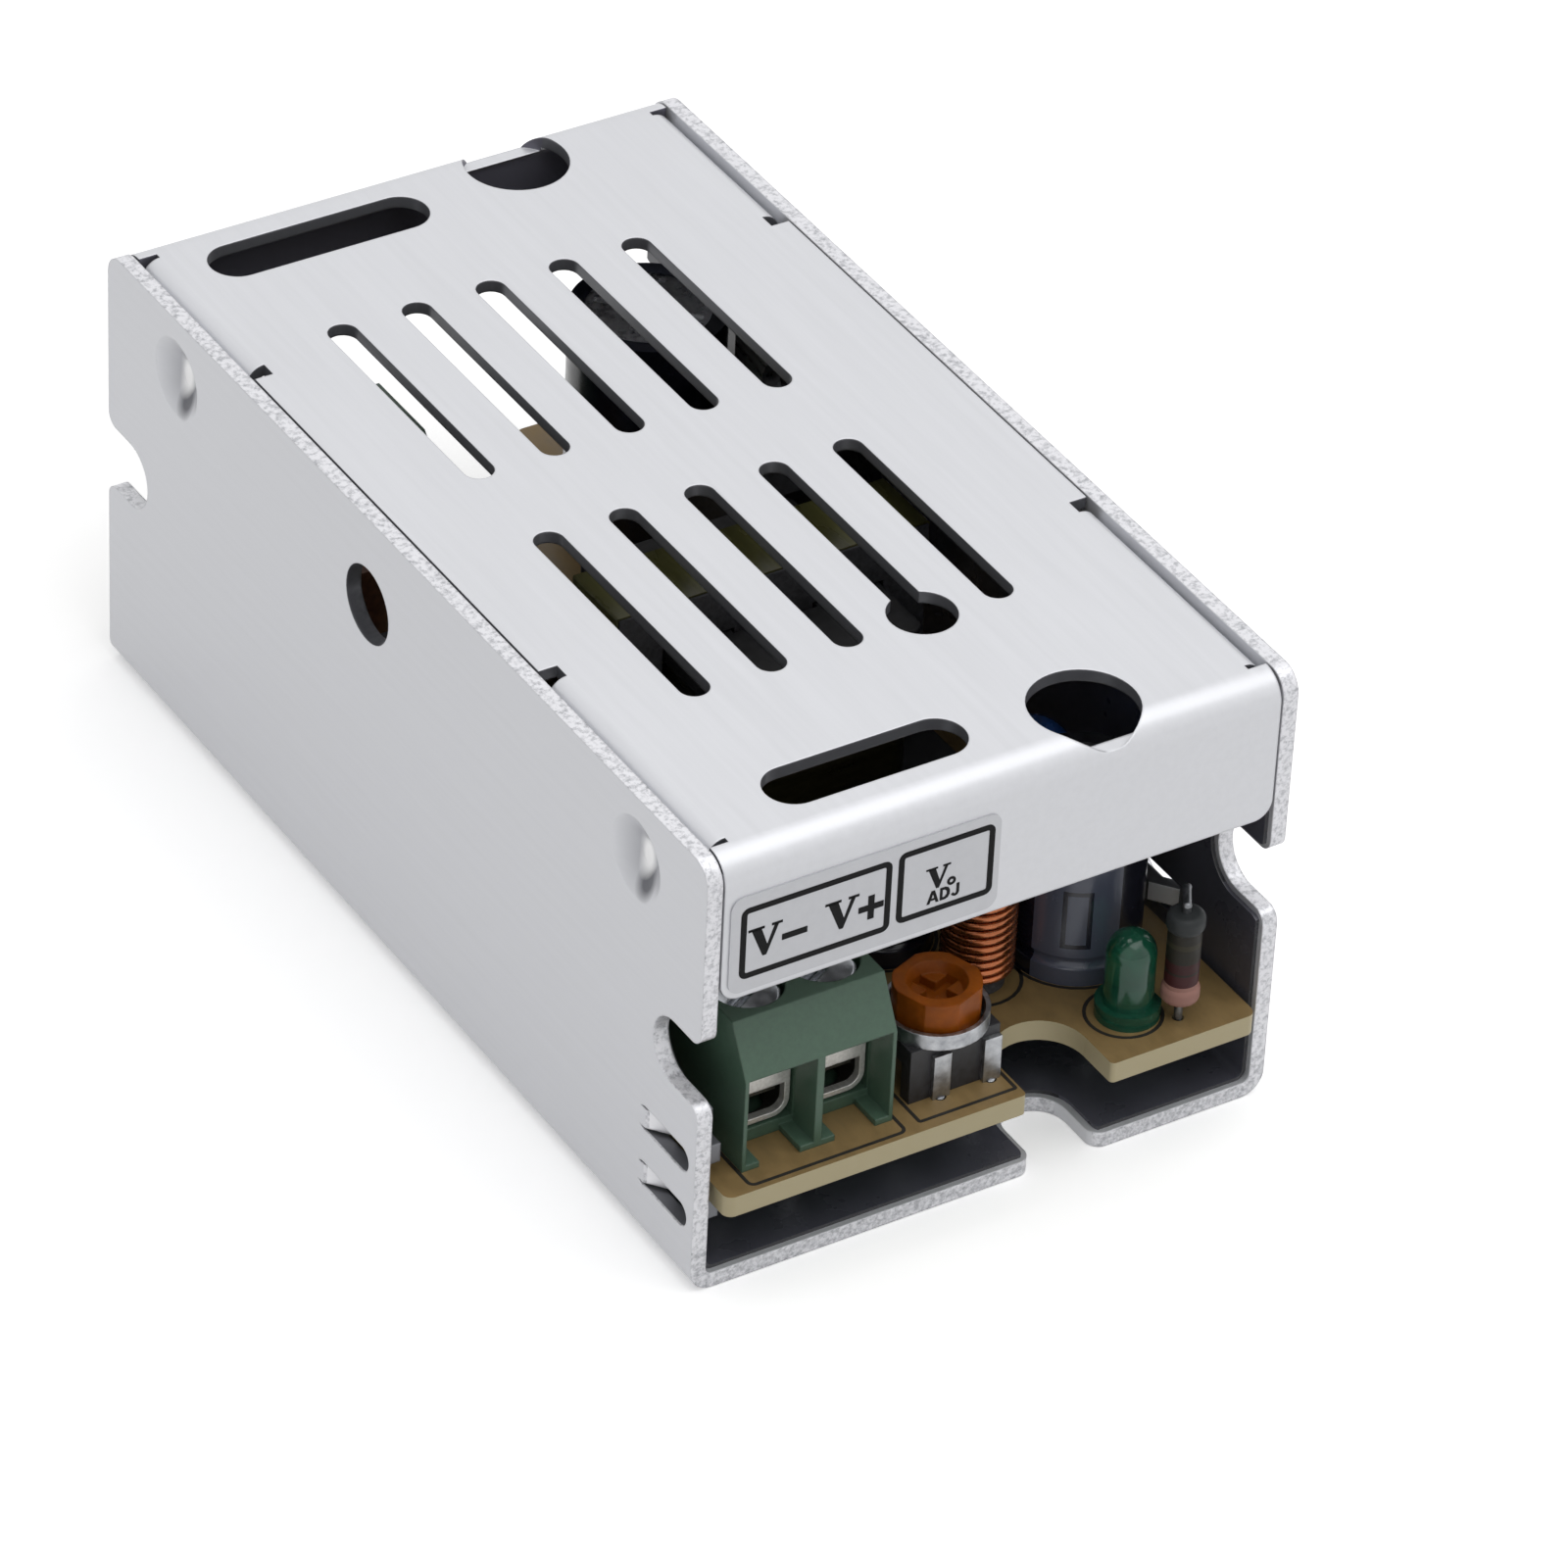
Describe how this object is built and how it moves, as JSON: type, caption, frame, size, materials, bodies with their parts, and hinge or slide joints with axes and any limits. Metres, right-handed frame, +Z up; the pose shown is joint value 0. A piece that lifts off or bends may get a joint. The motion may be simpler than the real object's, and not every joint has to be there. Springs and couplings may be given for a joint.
{
  "type": "led power supply",
  "caption": "Small open-ended LED power supply: folded sheet chassis with a vented cover over a switching board with screw terminal blocks, trimmer and indicator lamp.",
  "frame": {"origin": "middle of the underside of the case", "axes": "+X to the right seen from the output end, +Y from the output end to the input end, +Z up"},
  "size_m": [0.039, 0.072, 0.03],
  "materials": {
    "chassis": "satin",
    "cover": "satin",
    "insulation_sheet": "gloss",
    "terminal_label": "matte",
    "circuit_board": "matte",
    "output_terminal_housing": "matte",
    "output_clamp_1": "satin",
    "output_clamp_2": "satin",
    "output_screw_1": "satin",
    "output_screw_2": "satin",
    "output_terminal_contacts": "satin",
    "input_terminal_housing": "matte",
    "input_clamp_1": "satin",
    "input_clamp_2": "satin",
    "input_clamp_3": "satin",
    "input_screw_1": "satin",
    "input_screw_2": "satin",
    "input_screw_3": "satin",
    "input_terminal_contacts": "satin",
    "trimmer_base": "matte",
    "trimmer_collar": "satin",
    "trimmer_legs": "satin",
    "trimmer_rotor": "matte",
    "led_lens": "gloss",
    "led_leads": "satin",
    "led_resistor": "gloss",
    "led_resistor_leads": "satin",
    "choke_core": "matte",
    "choke_winding": "satin",
    "output_capacitor_1": "satin",
    "output_capacitor_1_sleeve": "gloss",
    "output_capacitor_2": "satin",
    "output_capacitor_2_sleeve": "gloss",
    "bulk_capacitor": "satin",
    "bulk_capacitor_sleeve": "gloss",
    "capacitor_leads": "satin",
    "safety_capacitor": "gloss",
    "safety_capacitor_leads": "satin",
    "transformer_core_lower": "matte",
    "transformer_core_upper": "matte",
    "transformer_bobbin": "matte",
    "transformer_winding": "matte",
    "transformer_tape": "gloss",
    "transformer_pins": "satin",
    "controller_chip": "matte",
    "optocoupler": "matte",
    "chip_legs": "satin",
    "rectifier_diodes": "matte",
    "output_diode": "matte",
    "diode_leads": "satin",
    "fuse": "matte",
    "fuse_leads": "satin",
    "power_transistor": "matte",
    "power_transistor_tab": "satin",
    "voltage_reference": "matte",
    "voltage_reference_legs": "satin",
    "solder_joints": "satin"
  },
  "bodies": {
    "case": {"chassis": "chassis", "cover": "cover", "insulation_sheet": "insulation_sheet", "terminal_label": "terminal_label", "circuit_board": "circuit_board", "output_terminal_housing": "output_terminal_housing", "output_terminal_contacts": "output_terminal_contacts", "input_terminal_housing": "input_terminal_housing", "input_terminal_contacts": "input_terminal_contacts", "trimmer_base": "trimmer_base", "trimmer_collar": "trimmer_collar", "trimmer_legs": "trimmer_legs", "led_lens": "led_lens", "led_leads": "led_leads", "led_resistor": "led_resistor", "led_resistor_leads": "led_resistor_leads", "choke_core": "choke_core", "choke_winding": "choke_winding", "output_capacitor_1": "output_capacitor_1", "output_capacitor_1_sleeve": "output_capacitor_1_sleeve", "output_capacitor_2": "output_capacitor_2", "output_capacitor_2_sleeve": "output_capacitor_2_sleeve", "bulk_capacitor": "bulk_capacitor", "bulk_capacitor_sleeve": "bulk_capacitor_sleeve", "capacitor_leads": "capacitor_leads", "safety_capacitor": "safety_capacitor", "safety_capacitor_leads": "safety_capacitor_leads", "transformer_core_lower": "transformer_core_lower", "transformer_core_upper": "transformer_core_upper", "transformer_bobbin": "transformer_bobbin", "transformer_winding": "transformer_winding", "transformer_tape": "transformer_tape", "transformer_pins": "transformer_pins", "controller_chip": "controller_chip", "optocoupler": "optocoupler", "chip_legs": "chip_legs", "rectifier_diodes": "rectifier_diodes", "output_diode": "output_diode", "diode_leads": "diode_leads", "fuse": "fuse", "fuse_leads": "fuse_leads", "power_transistor": "power_transistor", "power_transistor_tab": "power_transistor_tab", "voltage_reference": "voltage_reference", "voltage_reference_legs": "voltage_reference_legs", "solder_joints": "solder_joints"},
    "output_screw_1_body": {"output_screw_1": "output_screw_1"},
    "output_clamp_1_body": {"output_clamp_1": "output_clamp_1"},
    "output_screw_2_body": {"output_screw_2": "output_screw_2"},
    "output_clamp_2_body": {"output_clamp_2": "output_clamp_2"},
    "input_screw_1_body": {"input_screw_1": "input_screw_1"},
    "input_clamp_1_body": {"input_clamp_1": "input_clamp_1"},
    "input_screw_2_body": {"input_screw_2": "input_screw_2"},
    "input_clamp_2_body": {"input_clamp_2": "input_clamp_2"},
    "input_screw_3_body": {"input_screw_3": "input_screw_3"},
    "input_clamp_3_body": {"input_clamp_3": "input_clamp_3"},
    "trimmer_rotor_body": {"trimmer_rotor": "trimmer_rotor"}
  },
  "joints": [
    {"name": "output_screw_1_turn", "type": "hinge", "parent": "case", "child": "output_screw_1_body", "pos_m": [-0.01345, -0.02995, 0.01455], "axis": [0, 0, -1], "range_deg": [0, 866]},
    {"name": "output_clamp_1_rise", "type": "slide", "parent": "case", "child": "output_clamp_1_body", "axis": [0, 0, 1], "range_m": [0, 0.0012]},
    {"name": "output_screw_2_turn", "type": "hinge", "parent": "case", "child": "output_screw_2_body", "pos_m": [-0.00845, -0.02995, 0.01455], "axis": [0, 0, -1], "range_deg": [0, 866]},
    {"name": "output_clamp_2_rise", "type": "slide", "parent": "case", "child": "output_clamp_2_body", "axis": [0, 0, 1], "range_m": [0, 0.0012]},
    {"name": "input_screw_1_turn", "type": "hinge", "parent": "case", "child": "input_screw_1_body", "pos_m": [-0.0147, 0.02965, 0.01455], "axis": [0, 0, -1], "range_deg": [0, 866]},
    {"name": "input_clamp_1_rise", "type": "slide", "parent": "case", "child": "input_clamp_1_body", "axis": [0, 0, 1], "range_m": [0, 0.0012]},
    {"name": "input_screw_2_turn", "type": "hinge", "parent": "case", "child": "input_screw_2_body", "pos_m": [-0.0097, 0.02965, 0.01455], "axis": [0, 0, -1], "range_deg": [0, 866]},
    {"name": "input_clamp_2_rise", "type": "slide", "parent": "case", "child": "input_clamp_2_body", "axis": [0, 0, 1], "range_m": [0, 0.0012]},
    {"name": "input_screw_3_turn", "type": "hinge", "parent": "case", "child": "input_screw_3_body", "pos_m": [-0.0047, 0.02965, 0.01455], "axis": [0, 0, -1], "range_deg": [0, 866]},
    {"name": "input_clamp_3_rise", "type": "slide", "parent": "case", "child": "input_clamp_3_body", "axis": [0, 0, 1], "range_m": [0, 0.0012]},
    {"name": "trimmer_turn", "type": "hinge", "parent": "case", "child": "trimmer_rotor_body", "pos_m": [-0.00141, -0.0313, 0.00935], "axis": [0, 0, 1], "range_deg": [-105, 105]}
  ],
  "couplings": [
    {"joint": "output_screw_1_turn", "follows": "output_clamp_1_rise", "rad_per_m": 12566},
    {"joint": "output_screw_2_turn", "follows": "output_clamp_2_rise", "rad_per_m": 12566},
    {"joint": "input_screw_1_turn", "follows": "input_clamp_1_rise", "rad_per_m": 12566},
    {"joint": "input_screw_2_turn", "follows": "input_clamp_2_rise", "rad_per_m": 12566},
    {"joint": "input_screw_3_turn", "follows": "input_clamp_3_rise", "rad_per_m": 12566}
  ]
}
